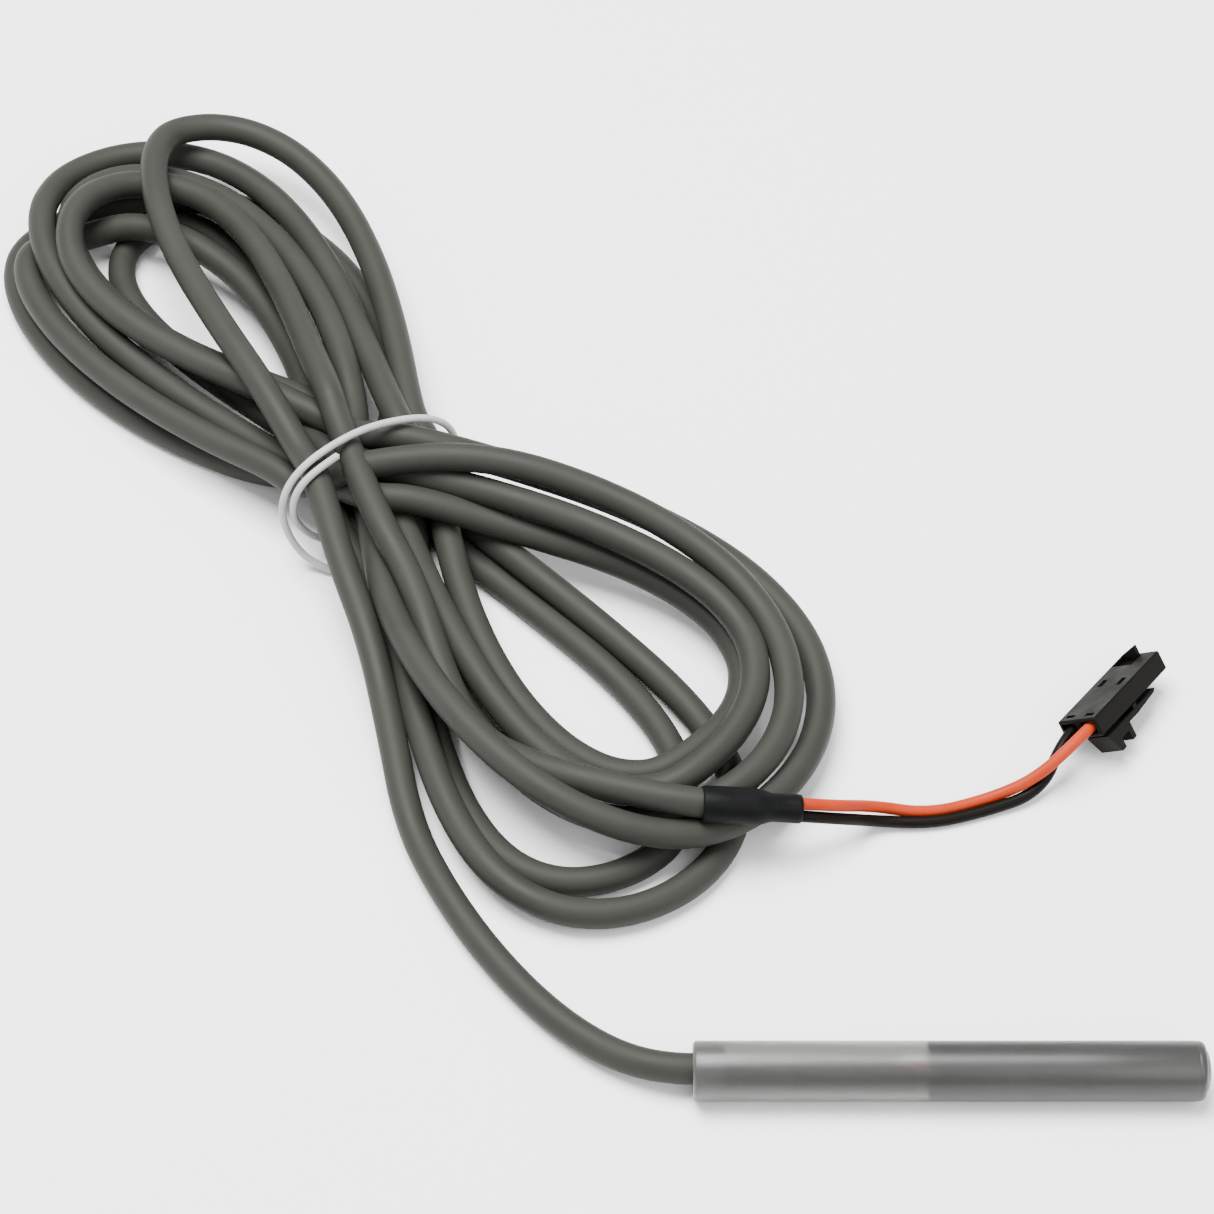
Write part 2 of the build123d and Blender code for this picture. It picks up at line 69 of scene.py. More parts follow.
TAIL_POINTS = [
    (-40.5, 0.0, 4.75),
    (-51.0, 2.6, 3.6),
    (-61.5, 10.5, 2.6),
    (-71.5, 22.0, 2.5),
    (-80.0, 35.5, 2.5),
    (-86.5, 50.0, 2.5),
    (-89.5, 67.0, 2.7),
    (-93.0, 83.5, 4.8),
    (-98.0, 98.0, 9.0),
]
CABLE_INSIDE_MOUTH = (-36.5, 0.3, 5.4)

RUN_POINTS = [
    (-93.0, 105.0, 11.5),
    (-88.5, 91.0, 8.5),
    (-83.5, 76.0, 7.5),
    (-76.0, 62.5, 9.5),
    (-64.5, 53.5, 12.5),
    (-52.0, 49.0, 13.3),
    (-38.7, 46.1, 13.0),
    (-30.5, 46.6, 11.7),
]

# The hank: a figure of eight whose turns all cross under the tie. Each crossing is given as its
# place across the bundle, along it, and the height of the cable's middle.
TIE_PLACE = np.array((-95.5, 121.5))
BUNDLE_HEADING = math.radians(-55.0)
ALONG = np.array((math.cos(BUNDLE_HEADING), math.sin(BUNDLE_HEADING)))
ACROSS = np.array((-ALONG[1], ALONG[0]))
CROSSINGS = [
    (-9.0, 2.0, 17.0),
    (13.0, -4.5, 9.0),
    (-4.0, 8.5, 13.0),
    (8.0, 1.0, 9.0),
    (-12.0, -3.5, 13.0),
    (-9.0, 8.0, 4.5),
    (7.5, 6.0, 8.0),
    (0.0, -3.0, 9.0),
    (-4.5, -3.0, 9.0),
    (-7.5, 8.0, 4.5),
    (4.5, -8.5, 8.0),
    (-4.0, 7.5, 9.0),
    (-1.5, -3.0, 10.0),
    (0.0, -6.0, 17.0),
]
# Each turn: heading in degrees, reach, how far it bows on its way out and on its way back, the
# shape of the bow (a larger number puts it further from the tie), and the heights on its way
# out, at its far end and on its way back.
TURNS = [
    (116, 88, 8, 15, 1.3, (18, 17, 13)),
    (-54, 80, 16, 31, 1.0, (6, 5, 6)),
    (127, 100, 18, 21, 1.6, (8, 8, 8)),
    (-46, 96, 28, 35, 0.7, (8, 7, 12)),
    (129, 86, 11, 22, 1.0, (6, 6, 5)),
    (-59, 94, 20, 20, 2.4, (5, 3, 4)),
    (138, 92, 20, 37, 0.3, (4, 3, 5)),
    (-50, 91, 15, 30, 1.7, (9, 8, 8)),
    (117, 82, 14, 10, 2.1, (5, 2.5, 3)),
    (-57, 93, 19, 14, 2.5, (4, 3, 4)),
    (124, 88, 20, 18, 1.0, (10, 11, 11)),
    (-40, 95, 31, 28, 1.1, (9, 5, 6)),
    (126, 79, 17, 14, 1.8, (12, 13, 14)),
]
POINTS_PER_TURN = 16
SWEEP_SAMPLES = 200
EVENNESS = 0.3

# Settling of the hank, step by step: how it sinks, what keeps each turn near its place and evenly
# bent, and how turns that touch push each other apart. Places less than NEIGHBOUR_GAP apart along
# the cable never push each other.
SETTLE_STEPS = 260
SAMPLES_PER_SPAN = 4
SINK_PER_STEP = 0.03
EVEN_OUT_FLAT = 0.12
PULL_HOME_FLAT = 0.05
EVEN_OUT_UP = 0.04
NEIGHBOUR_GAP = 14.0
TOUCHING = 2.02
SEARCH_MARGIN = 4
STEPS_PER_SEARCH = 8
PUSHES_PER_STEP = 3
PUSH_WEIGHTS = (0.5, 0.5, 1.0)
PUSH_GAIN = 2.2
LOOSE_ENDS = 3

# The space that the tie holds the turns in
BUNDLE_HALF_WIDTH = 13.0
BUNDLE_BOTTOM = 4.3
BUNDLE_TOP = 17.0
TIE_REACH = 7.0

# Twist tie: points across the bundle, along it, and up
TIE_POINTS = [
    (-7.5, 3.0, 20.9),
    (-12.0, 3.6, 20.9),
    (-16.0, 3.6, 18.6),
    (-17.2, 3.0, 13.5),
    (-16.2, 2.6, 8.5),
    (-13.0, 3.6, 3.4),
    (-8.0, 4.6, 0.8),
    (1.0, 3.5, 0.8),
    (10.5, 3.5, 0.8),
    (16.0, 3.4, 4.5),
    (16.2, 3.6, 11.5),
    (13.6, 3.6, 17.2),
    (8.5, 2.8, 20.6),
    (0.0, 0.8, 21.6),
    (-7.5, 0.9, 21.6),
    (-13.4, 1.6, 20.9),
    (-17.2, 1.6, 17.6),
    (-18.6, 1.4, 11.5),
    (-17.8, 3.6, 5.0),
    (-15.6, 7.2, 1.6),
    (-12.5, 10.8, 0.7),
]
TIE_RADIUS = 0.65
TIE_WIRE_RADIUS = 0.22
TIE_WIRE_STICKS_OUT = 0.35

# Capsule: distances are from its mouth
MOUTH = Vector((-40.5, 0.0, 4.75))
CAPSULE_LENGTH = 81.0
CAPSULE_RADIUS = 4.75
BORE_RADIUS = 4.0
BORE_DEPTH = 79.9
BORE_CORNER = 1.4
SEAM_AT = 78.8
DOME_AT = 80.3
DOME_RADIUS_ACROSS = 3.45
POTTING_AT = 36.75
POTTING_RADIUS = 4.06
MENISCUS = 0.6
MENISCUS_NOISE = 260.0
MENISCUS_UNEVEN = 0.35
LIP_ROUNDING = 0.68
SHOULDER_ROUNDING = 1.1
WALL_RINGS = (20.0, 60.0)
CAPSULE_SIDES = 96

# Surfaces: the noises run between these two values, and the fine one has this share of the tone
NOISE_LOW = 0.3
NOISE_HIGH = 0.7
GRAIN_SHARE = 0.35
GRAIN_DEPTH = 0.00004
SUBSURFACE_DEPTH = 0.002

# Heat-shrink sleeve
SLEEVE_START = Vector((-38.7, 46.1, 13.0))
SLEEVE_END = Vector((-22.4, 47.0, 10.5))
SLEEVE_RADIUS = 3.1
SLEEVE_NECK_RADIUS = 2.3
SLEEVE_NECK_AT = 10.4
SLEEVE_WALL = 0.45
SLEEVE_NOISE = 420.0
SLEEVE_UNEVEN = 0.10

# Leads into the connector
PLUG_ORIGIN = Vector((26.5, 65.5, 11.0))
PLUG_HEADING = math.radians(54.0)
PLUG_NOSE_DOWN = math.radians(8.0)
PLUG_ROLL = math.radians(39.6)
WAY_PLACES = {"orange": 2.05, "black": 6.15}
WAY_HEIGHT = -1.8
LEAD_ENTRY_X = -2.5
LEAD_END_X = 5.0
LEAD_ROUTES = {
    "orange": [
        (-27.3, 47.5, 11.9),
        (-18.0, 47.8, 10.3),
        (-10.0, 53.6, 2.8),
        (-1.0, 53.1, 1.1),
        (9.3, 56.3, 1.1),
        (17.1, 58.2, 4.2),
    ],
    "black": [
        (-27.3, 45.9, 10.6),
        (-18.0, 47.0, 8.1),
        (-10.0, 51.3, 1.7),
        (-1.0, 51.1, 1.2),
        (7.0, 53.2, 1.05),
        (18.0, 57.2, 1.6),
    ],
}

# Stage: a white floor in daylight, and two square lights, each with its place, size and watts
FLOOR_HALF = 3.0
DAYLIGHT = 1.1
LIGHTS_AIM_AT = (-0.05, 0.05, 0.0)
LIGHTS = {
    "key": ((-0.25, 0.2, 0.9), 0.6, 34.0),
    "fill": ((0.5, -0.5, 0.7), 0.8, 8.0),
}


# ---------------------------------------------------------------------------------------- camera

def make_camera():
    data = bpy.data.cameras.new("camera")
    data.sensor_width = SENSOR_WIDTH
    data.lens = CAMERA_LENS
    data.clip_start = CAMERA_NEAR
    camera = bpy.data.objects.new("camera", data)
    camera.location = CAMERA_PLACE
    camera.rotation_euler = (math.radians(CAMERA_PITCH), 0.0, 0.0)
    bpy.context.scene.collection.objects.link(camera)
    bpy.context.scene.camera = camera


# -------------------------------------------------------------------------------------- materials

def node(tree, kind, **inputs):
    """Adds a shader node and sets the named inputs."""
    made = tree.nodes.new(kind)
    for name, value in inputs.items():
        made.inputs[name.replace("_", " ")].default_value = value
    return made


def plastic(name, dark, light, roughness, patch, grain=2500.0, bump=0.15, subsurface=0.0,
            metallic=0.0, transmission=0.0, ior=1.46, gloss=0.2):
    """A surface with two scales of procedural detail: slow patches of tone, and a fine grain."""
    made = bpy.data.materials.new(name)
    made.use_nodes = True
    tree = made.node_tree
    shader = tree.nodes["Principled BSDF"]
    place = tree.nodes.new("ShaderNodeTexCoord")
    patches = node(tree, "ShaderNodeTexNoise", Scale=patch, Detail=4.0, Roughness=0.55)
    tree.links.new(place.outputs["Object"], patches.inputs["Vector"])
    fine = node(tree, "ShaderNodeTexNoise", Scale=grain, Detail=3.0, Roughness=0.6)
    tree.links.new(place.outputs["Object"], fine.inputs["Vector"])
    both = tree.nodes.new("ShaderNodeMix")
    both.data_type = "FLOAT"
    both.inputs["Factor"].default_value = GRAIN_SHARE
    tree.links.new(patches.outputs["Fac"], both.inputs["A"])
    tree.links.new(fine.outputs["Fac"], both.inputs["B"])
    ramp = tree.nodes.new("ShaderNodeValToRGB")
    ramp.color_ramp.elements[0].position = NOISE_LOW
    ramp.color_ramp.elements[0].color = (*dark, 1.0)
    ramp.color_ramp.elements[1].position = NOISE_HIGH
    ramp.color_ramp.elements[1].color = (*light, 1.0)
    tree.links.new(both.outputs["Result"], ramp.inputs["Fac"])
    tree.links.new(ramp.outputs["Color"], shader.inputs["Base Color"])
    spread = node(tree, "ShaderNodeMapRange", To_Min=roughness[0], To_Max=roughness[1])
    spread.inputs["From Min"].default_value = NOISE_LOW
    spread.inputs["From Max"].default_value = NOISE_HIGH
    tree.links.new(patches.outputs["Fac"], spread.inputs["Value"])
    tree.links.new(spread.outputs["Result"], shader.inputs["Roughness"])
    relief = node(tree, "ShaderNodeBump", Strength=bump, Distance=GRAIN_DEPTH)
    tree.links.new(fine.outputs["Fac"], relief.inputs["Height"])
    tree.links.new(relief.outputs["Normal"], shader.inputs["Normal"])
    shader.inputs["Metallic"].default_value = metallic
    shader.inputs["Subsurface Weight"].default_value = subsurface
    shader.inputs["Subsurface Scale"].default_value = SUBSURFACE_DEPTH
    shader.inputs["Transmission Weight"].default_value = transmission
    shader.inputs["IOR"].default_value = ior
    shader.inputs["Specular IOR Level"].default_value = gloss
    return made


def make_materials():
    return {
        "jacket": plastic("cable_jacket", (0.018, 0.0186, 0.0155), (0.0245, 0.0252, 0.0212),
                          roughness=(0.5, 0.65), patch=70.0, grain=3200.0, bump=0.2, gloss=0.15),
        "orange": plastic("orange_insulation", (0.27, 0.022, 0.005), (0.35, 0.032, 0.008),
                          roughness=(0.35, 0.5), patch=200.0, bump=0.08, gloss=0.1),
        "black": plastic("black_insulation", (0.0016, 0.0009, 0.0005), (0.0034, 0.0021, 0.0013),
                         roughness=(0.35, 0.5), patch=200.0, bump=0.08, gloss=0.08),
        "shrink": plastic("heat_shrink", (0.0012, 0.0013, 0.0015), (0.0028, 0.0030, 0.0034),
                          roughness=(0.42, 0.6), patch=300.0, grain=1800.0, bump=0.25, gloss=0.08),
        "sheath": plastic("sheath", (0.33, 0.34, 0.32), (0.39, 0.40, 0.38), roughness=(0.32, 0.4),
                          patch=90.0, grain=2600.0, bump=0.12, transmission=0.97, ior=1.45,
                          gloss=0.05),
        "potting": plastic("potting", (0.029, 0.031, 0.030), (0.037, 0.039, 0.038),
                           roughness=(0.6, 0.75), patch=120.0, bump=0.1, gloss=0.1),
        "seal": plastic("seal", (0.4, 0.41, 0.39), (0.5, 0.51, 0.49), roughness=(0.4, 0.6),
                        patch=400.0, transmission=0.7),
        "copper": plastic("copper", (0.62, 0.27, 0.15), (0.80, 0.42, 0.26), roughness=(0.25, 0.4),
                          patch=1500.0, grain=6000.0, metallic=1.0, bump=0.2, gloss=0.5),
        "tinned": plastic("tinned_metal", (0.42, 0.42, 0.40), (0.58, 0.58, 0.56),
                          roughness=(0.22, 0.4), patch=900.0, grain=5000.0, metallic=1.0, bump=0.15,
                          gloss=0.5),
        "sleeving": plastic("clear_sleeving", (0.62, 0.60, 0.52), (0.74, 0.72, 0.64),
                            roughness=(0.2, 0.35), patch=500.0, transmission=0.7),
        "epoxy": plastic("bead_epoxy", (0.02, 0.02, 0.02), (0.045, 0.045, 0.045),
                         roughness=(0.15, 0.3), patch=700.0, grain=1500.0, bump=0.2, gloss=0.5),
        "tie": plastic("tie_plastic", (0.27, 0.28, 0.275), (0.35, 0.36, 0.355),
                       roughness=(0.35, 0.5), patch=300.0, grain=2200.0, bump=0.12,
                       subsurface=0.15),
        "wire": plastic("tie_steel", (0.38, 0.38, 0.38), (0.55, 0.55, 0.54), roughness=(0.3, 0.45),
                        patch=1200.0, metallic=1.0, gloss=0.5),
        "nylon": plastic("connector_plastic", (0.0018, 0.0016, 0.0013), (0.0038, 0.0034, 0.0028),
                         roughness=(0.42, 0.6), patch=250.0, grain=3000.0, bump=0.3, gloss=0.07),
    }


def dress(obj, made):
    obj.data.materials.clear()
    obj.data.materials.append(made)


# ------------------------------------------------------------------------------------------ cords

def spline_object(name, points_mm, radius_mm, made, smooth_ring=6):
    """One open NURBS spline, in metres, swept with a round section."""
    curve = bpy.data.curves.new(name, "CURVE")
    curve.dimensions = "3D"
    curve.bevel_depth = radius_mm * MM
    curve.bevel_resolution = smooth_ring
    curve.resolution_u = CORD_RESOLUTION
    curve.use_fill_caps = True
    spline = curve.splines.new("NURBS")
    spline.points.add(len(points_mm) - 1)
    for point, place in zip(spline.points, points_mm):
        point.co = (*(v * MM for v in place), 1.0)
    spline.order_u = 3
    spline.use_endpoint_u = True
    obj = bpy.data.objects.new(name, curve)
    bpy.context.scene.collection.objects.link(obj)
    dress(obj, made)
    return obj


def eased(x):
    return x * x * (3 - 2 * x)


def crossing_place(crossing):
    across, along, up = crossing
    return TIE_PLACE + across * ACROSS + along * ALONG


def turn_points(start, end, heading, reach, bow_out, bow_back, fullness, heights):
    """One turn of the figure of eight: a drop-shaped loop from one crossing to the next."""
    angle = math.radians(heading)
    ahead = np.array((math.cos(angle), math.sin(angle)))
    left = np.array((-ahead[1], ahead[0])) * (1 if ahead[1] > 0 else -1)
    sweep = np.linspace(0.0, math.pi, SWEEP_SAMPLES)
    widest = (np.sin(sweep) * np.sin(sweep / 2) ** fullness).max()
    levels = (start[2], *heights, end[2])
    points = []
    for step in range(POINTS_PER_TURN):
        part = step / POINTS_PER_TURN
        phase = 2 * math.pi * part + EVENNESS * math.sin(2 * math.pi * part)
        done = phase / (2 * math.pi)
        out = reach * (1 - math.cos(phase)) / 2
        bow = bow_out if phase < math.pi else bow_back
        aside = bow * math.sin(phase) * abs(math.sin(phase / 2)) ** fullness / widest
        base = crossing_place(start) * (1 - eased(done)) + crossing_place(end) * eased(done)
        flat = base + out * ahead + aside * left
        stages = len(levels) - 1
        stage = min(int(done * stages), stages - 1)
        climb = levels[stage + 1] - levels[stage]
        up = levels[stage] + climb * eased(done * stages - stage)
        points.append((flat[0], flat[1], up))
    return points


def spline_weights(count):
    """Rows that turn control points into points along their quadratic spline."""
    rows = []
    for middle in range(1, count - 1):
        for sample in range(SAMPLES_PER_SPAN):
            t = (sample + 0.5) / SAMPLES_PER_SPAN
            row = np.zeros(count)
            row[middle - 1] = (1 - t) ** 2 / 2
            row[middle] = 0.5 + t - t * t
            row[middle + 1] = t * t / 2
            rows.append(row)
    return np.array(rows)


def settle(points, first, last):
    """Lets the hank sink until it rests on the floor and on itself, held by the tie."""
    weights = spline_weights(len(points))
    shares = (weights / np.maximum(weights.sum(0), 1e-9)).T
    planned = np.array(points, float)
    now = planned.copy()
    along_line = weights @ now
    arc = np.concatenate([[0], np.cumsum(np.linalg.norm(np.diff(along_line, axis=0), axis=1))])
    far_apart = np.abs(arc[:, None] - arc[None]) > NEIGHBOUR_GAP
    free = np.ones((len(points), 1))
    free[:first - LOOSE_ENDS] = 0
    free[last + LOOSE_ENDS:] = 0
    touch_at = TOUCHING * CABLE_RADIUS
    for step in range(SETTLE_STEPS):
        if step % STEPS_PER_SEARCH == 0:
            gaps = np.linalg.norm(along_line[:, None] - along_line[None], axis=2)
            one, other = np.nonzero(np.triu((gaps < touch_at + SEARCH_MARGIN) & far_apart))
        now[:, 2] -= free[:, 0] * SINK_PER_STEP * (1 - step / SETTLE_STEPS)
        moved = now - planned
        evened = moved.copy()
        evened[1:-1] = (moved[:-2] + moved[2:]) / 2
        to_even = EVEN_OUT_FLAT * (evened - moved)
        to_home = PULL_HOME_FLAT * moved
        now[:, :2] += free * (to_even - to_home)[:, :2]
        bend = np.zeros(len(points))
        bend[1:-1] = (now[:-2, 2] + now[2:, 2]) / 2 - now[1:-1, 2]
        now[:, 2] += free[:, 0] * EVEN_OUT_UP * bend
        for _ in range(PUSHES_PER_STEP):
            along_line = weights @ now
            between = along_line[one] - along_line[other]
            length = np.linalg.norm(between, axis=1) + 1e-6
            overlap = np.clip(touch_at - length, 0, None)
            away = between / length[:, None] * PUSH_WEIGHTS
            push = overlap[:, None] / 2 * away
            shift = np.zeros_like(along_line)
            np.add.at(shift, one, push)
            np.add.at(shift, other, -push)
            touching = np.zeros(len(along_line))
            np.add.at(touching, one, overlap > 0)
            np.add.at(touching, other, overlap > 0)
            shift /= np.sqrt(np.maximum(touching, 1))[:, None]
            from_tie = along_line[:, :2] - TIE_PLACE
            aside = from_tie @ ACROSS
            held = np.abs(from_tie @ ALONG) < TIE_REACH
            outside = np.sign(aside) * np.clip(np.abs(aside) - BUNDLE_HALF_WIDTH, 0, None) * held
            shift[:, :2] -= outside[:, None] / 2 * ACROSS
            too_low = np.clip(BUNDLE_BOTTOM - along_line[:, 2], 0, None)
            too_high = np.clip(along_line[:, 2] - BUNDLE_TOP, 0, None)
            shift[:, 2] += held / 2 * (too_low - too_high)
            now += free * (shares @ shift) * PUSH_GAIN
            now[:, 2] = np.maximum(now[:, 2], CABLE_RADIUS)
    return now


def cable_points():
    points = [CABLE_INSIDE_MOUTH] + TAIL_POINTS
    for turn, (start, end) in zip(TURNS, zip(CROSSINGS, CROSSINGS[1:])):
        points += turn_points(start, end, *turn)
    last = CROSSINGS[-1]
    points.append((*crossing_place(last), last[2]))
    run_start = len(points)
    points += RUN_POINTS
    return settle(points, len(TAIL_POINTS) + 1, run_start)


def plug_point(x, y, z):
    """Place of a point in the plug's own frame: x to its nose, y across, z out of its top face."""
    forward = Vector((
        math.cos(PLUG_NOSE_DOWN) * math.cos(PLUG_HEADING),
        math.cos(PLUG_NOSE_DOWN) * math.sin(PLUG_HEADING),
        -math.sin(PLUG_NOSE_DOWN),
    ))
    level = Vector((-math.sin(PLUG_HEADING), math.cos(PLUG_HEADING), 0.0))
    upright = forward.cross(level)
    across = math.cos(PLUG_ROLL) * level - math.sin(PLUG_ROLL) * upright
    up = math.sin(PLUG_ROLL) * level + math.cos(PLUG_ROLL) * upright
    return tuple(PLUG_ORIGIN + x * forward + y * across + z * up)


def lead_points(colour):
    way = WAY_PLACES[colour]
    into_plug = [plug_point(x, way, WAY_HEIGHT) for x in (LEAD_ENTRY_X, LEAD_END_X)]
    return LEAD_ROUTES[colour] + into_plug


def tie_points(sticks_out=0.0):
    points = [np.array((*(TIE_PLACE + a * ACROSS + l * ALONG), up)) for a, l, up in TIE_POINTS]
    for end, inner in ((0, 1), (-1, -2)):
        outward = points[end] - points[inner]
        points[end] = points[end] + outward / np.linalg.norm(outward) * sticks_out
    return [tuple(p) for p in points]


# ------------------------------------------------------------------------------------------ pieces

def lathe_along(name, start, end, rings, made, around=64):
    """A skin of circles about the line from start to end. Each ring is (distance, radius), and a
    radius of 0 closes the skin at a point."""
    axis = (end - start).normalized()
    side = axis.orthogonal().normalized()
    other = axis.cross(side)
    mesh = bmesh.new()
    loops = []
    for distance, radius in rings:
        centre = start + axis * distance
        if radius == 0:
            loops.append([mesh.verts.new(centre * MM)])
            continue
        loop = []
        for step in range(around):
            angle = 2 * math.pi * step / around
            outward = math.cos(angle) * side + math.sin(angle) * other
            loop.append(mesh.verts.new((centre + outward * radius) * MM))
        loops.append(loop)
    for loop, following in zip(loops, loops[1:]):
        for step in range(around):
            after = (step + 1) % around
            corners = []
            for ring, at in ((loop, step), (loop, after), (following, after), (following, step)):
                vertex = ring[at % len(ring)]
                if vertex not in corners:
                    corners.append(vertex)
            if len(corners) > 2:
                mesh.faces.new(corners)
    bmesh.ops.recalc_face_normals(mesh, faces=mesh.faces)
    if mesh.calc_volume(signed=True) < 0:
        bmesh.ops.reverse_faces(mesh, faces=mesh.faces)
    data = bpy.data.meshes.new(name)
    mesh.to_mesh(data)
    mesh.free()
    for face in data.polygons:
        face.use_smooth = True
    obj = bpy.data.objects.new(name, data)
    bpy.context.scene.collection.objects.link(obj)
    dress(obj, made)
    return obj


def rounded(centre, radius, first, last, steps=5):
    """Points on an arc about centre, as (distance, radius) rings, between two angles in degrees."""
    angles = [math.radians(first + (last - first) * step / steps) for step in range(steps + 1)]
    return [(centre[0] + radius * math.cos(a), centre[1] + radius * math.sin(a)) for a in angles]


def make_capsule(made):
    """The moulded shell: an open mouth with a soft lip, and a stepped, slightly domed end."""
    end = MOUTH + Vector((CAPSULE_LENGTH, 0.0, 0.0))
    shoulder_centre = (SEAM_AT + 0.25, CAPSULE_RADIUS - 0.06 - SHOULDER_ROUNDING)
    inside = [
        (BORE_DEPTH, 0),
        (BORE_DEPTH, BORE_RADIUS - BORE_CORNER),
        (BORE_DEPTH - BORE_CORNER, BORE_RADIUS),
        *((at, BORE_RADIUS) for at in reversed(WALL_RINGS)),
        (0.4, BORE_RADIUS),
        (0.1, BORE_RADIUS + 0.08),
        (0.0, BORE_RADIUS + 0.22),
    ]
    outside = [
        *rounded((LIP_ROUNDING, CAPSULE_RADIUS - LIP_ROUNDING), LIP_ROUNDING, 180, 90),
        *((at, CAPSULE_RADIUS) for at in WALL_RINGS),
        (SEAM_AT - 0.22, CAPSULE_RADIUS),
        (SEAM_AT - 0.06, CAPSULE_RADIUS - 0.05),
        (SEAM_AT, CAPSULE_RADIUS - 0.08),
        (SEAM_AT + 0.08, CAPSULE_RADIUS - 0.06),
        *rounded(shoulder_centre, SHOULDER_ROUNDING, 88, 32),
        (DOME_AT - 0.1, DOME_RADIUS_ACROSS - 0.1),
    ]
    dome_height = CAPSULE_LENGTH - DOME_AT
    dome_radius = (DOME_RADIUS_ACROSS ** 2 + dome_height ** 2) / 2 / dome_height
    dome = []
    for part in (0.9, 0.7, 0.5, 0.25):
        across = DOME_RADIUS_ACROSS * part
        sagged = dome_radius - math.sqrt(dome_radius ** 2 - across ** 2)
        dome.append((CAPSULE_LENGTH - sagged, across))
    dome.append((CAPSULE_LENGTH, 0))
    rings = inside + outside + dome
    return lathe_along("capsule", MOUTH, end, rings, made, around=CAPSULE_SIDES)


def make_potting(made):
    """The resin at the closed end, with the meniscus it set with."""
    end = MOUTH + Vector((CAPSULE_LENGTH, 0.0, 0.0))
    rings = [(POTTING_AT + MENISCUS, 0)]
    for across in (0.8, 1.6, 2.4, 3.1, 3.6, 3.9, POTTING_RADIUS):
        rings.append((POTTING_AT + MENISCUS - MENISCUS * (across / POTTING_RADIUS) ** 2, across))
    rings += [
        (WALL_RINGS[-1], POTTING_RADIUS),
        (BORE_DEPTH - BORE_CORNER, POTTING_RADIUS),
        (BORE_DEPTH + 0.05, POTTING_RADIUS - BORE_CORNER),
        (BORE_DEPTH + 0.05, 0),
    ]
    potting = lathe_along("potting", MOUTH, end, rings, made, around=CAPSULE_SIDES)
    surface_end = (MOUTH.x + POTTING_AT + MENISCUS + 0.1) * MM
    for vertex in potting.data.vertices:
        if vertex.co.x < surface_end:
            vertex.co.x += noise.noise(vertex.co * MENISCUS_NOISE) * MENISCUS_UNEVEN * MM
    return potting


def make_sleeve(made):
    """Shrunk tubing: tight on the jacket, then drawn in round the two leads."""
    length = (SLEEVE_END - SLEEVE_START).length
    outside = [
        (0.0, SLEEVE_RADIUS - 0.35),
        (0.12, SLEEVE_RADIUS - 0.12),
        (0.5, SLEEVE_RADIUS),
        (4.0, SLEEVE_RADIUS - 0.05),
        (8.6, SLEEVE_RADIUS),
        (9.6, SLEEVE_RADIUS - 0.12),
        (SLEEVE_NECK_AT + 0.3, SLEEVE_NECK_RADIUS + 0.3),
        (SLEEVE_NECK_AT + 1.3, SLEEVE_NECK_RADIUS + 0.05),
        (length - 2.0, SLEEVE_NECK_RADIUS),
        (length - 0.6, SLEEVE_NECK_RADIUS + 0.12),
        (length - 0.1, SLEEVE_NECK_RADIUS + 0.08),
        (length, SLEEVE_NECK_RADIUS - 0.05),
    ]
    inside = [
        (length - 0.05, SLEEVE_NECK_RADIUS - SLEEVE_WALL),
        (SLEEVE_NECK_AT + 1.0, SLEEVE_NECK_RADIUS - SLEEVE_WALL),
    ]
    sleeve = lathe_along("shrink_sleeve", SLEEVE_START, SLEEVE_END, outside + inside, made)
    for vertex in sleeve.data.vertices:
        wander = noise.noise(vertex.co * SLEEVE_NOISE) * SLEEVE_UNEVEN * MM
        vertex.co += vertex.normal * wander
    return sleeve


# ------------------------------------------------------------------------------------------- stage

def area_light(name, place, target, size, power):
    data = bpy.data.lights.new(name, "AREA")
    data.shape = "SQUARE"
    data.size = size
    data.energy = power
    light = bpy.data.objects.new(name, data)
    light.location = place
    light.rotation_euler = (Vector(target) - Vector(place)).to_track_quat("-Z", "Y").to_euler()
    bpy.context.scene.collection.objects.link(light)


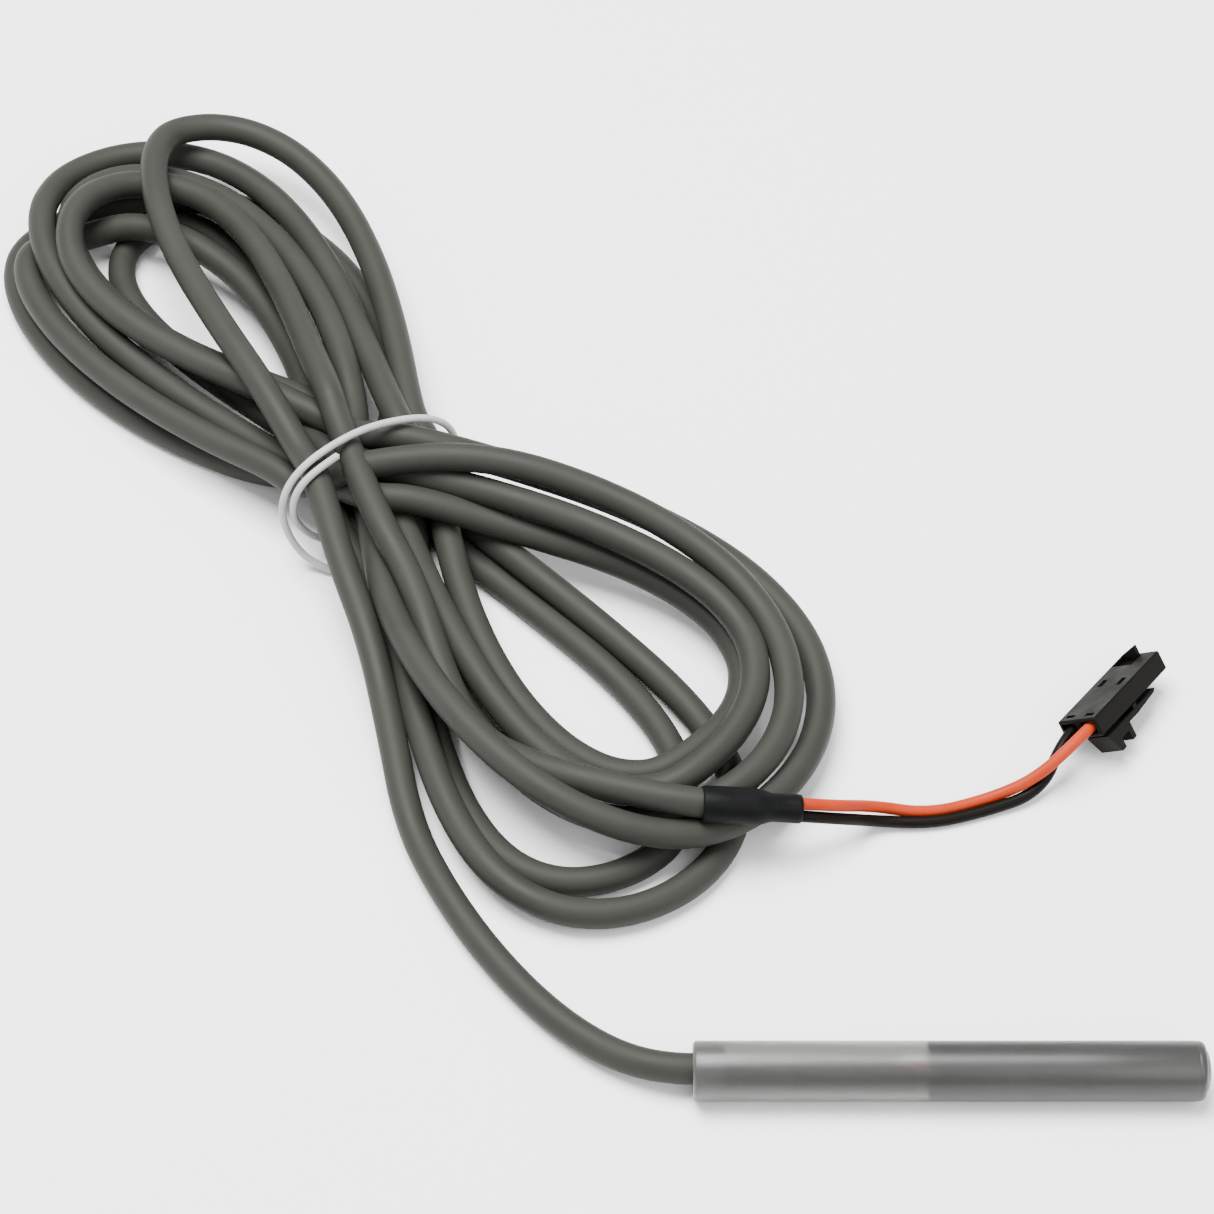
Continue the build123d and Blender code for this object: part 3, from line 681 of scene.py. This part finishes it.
def make_stage():
    low = CAD_BOX[0][2]
    data = bpy.data.meshes.new("floor")
    signs = ((-1, -1), (1, -1), (1, 1), (-1, 1))
    corners = [(x * FLOOR_HALF, y * FLOOR_HALF, low) for x, y in signs]
    data.from_pydata(corners, [], [(0, 1, 2, 3)])
    floor = bpy.data.objects.new("floor", data)
    bpy.context.scene.collection.objects.link(floor)
    dress(floor, plastic("floor", (0.84, 0.84, 0.84), (0.87, 0.87, 0.87), roughness=(0.8, 0.9),
                         patch=4.0, grain=400.0, bump=0.02))
    world = bpy.data.worlds.new("studio")
    world.use_nodes = True
    world.node_tree.nodes["Background"].inputs["Color"].default_value = (1.0, 1.0, 1.0, 1.0)
    world.node_tree.nodes["Background"].inputs["Strength"].default_value = DAYLIGHT
    bpy.context.scene.world = world
    for name, (place, size, power) in LIGHTS.items():
        area_light(name, place, LIGHTS_AIM_AT, size, power)


# ------------------------------------------------------------------------------------------- build

make_camera()
skin = make_materials()

cable = spline_object("cable", cable_points(), CABLE_RADIUS, skin["jacket"], smooth_ring=8)
leads = {
    colour: spline_object(f"lead_{colour}", lead_points(colour), LEAD_RADIUS, skin[colour])
    for colour in LEAD_ROUTES
}
tie = spline_object("tie_cover", tie_points(), TIE_RADIUS, skin["tie"])
tie_wire = spline_object("tie_core", tie_points(TIE_WIRE_STICKS_OUT), TIE_WIRE_RADIUS, skin["wire"])
sleeve = make_sleeve(skin["shrink"])
capsule = make_capsule(skin["sheath"])
potting = make_potting(skin["potting"])

for piece in (cable, *leads.values(), tie, tie_wire, sleeve, capsule, potting):
    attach(piece, BODY)
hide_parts("probe_tail", "cable_hank", "cable_run", "cable_end")
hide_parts("orange_lead")
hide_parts("black_lead")
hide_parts("tie_coating")
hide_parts("tie_wire")
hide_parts("heat_shrink_sleeve")
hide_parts("probe_sheath")
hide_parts("probe_potting")

NODE_SKINS = {
    "entry_seal": "seal",
    "cable_jacket_end": "jacket",
    "core_orange": "orange",
    "core_black": "black",
    "core_copper_orange": "copper",
    "core_copper_black": "copper",
    "splice_ferrule_orange": "tinned",
    "splice_ferrule_black": "tinned",
    "splice_sleeving_orange": "sleeving",
    "splice_sleeving_black": "sleeving",
    "thermistor_lead_orange": "tinned",
    "thermistor_lead_black": "tinned",
    "thermistor_bead": "epoxy",
    "lead_copper_orange": "copper",
    "lead_copper_black": "copper",
    "terminal_orange": "tinned",
    "terminal_black": "tinned",
    "connector_housing": "nylon",
    "latch_lever": "nylon",
}
for name, kind in NODE_SKINS.items():
    dress(nodes[name], skin[kind])

make_stage()
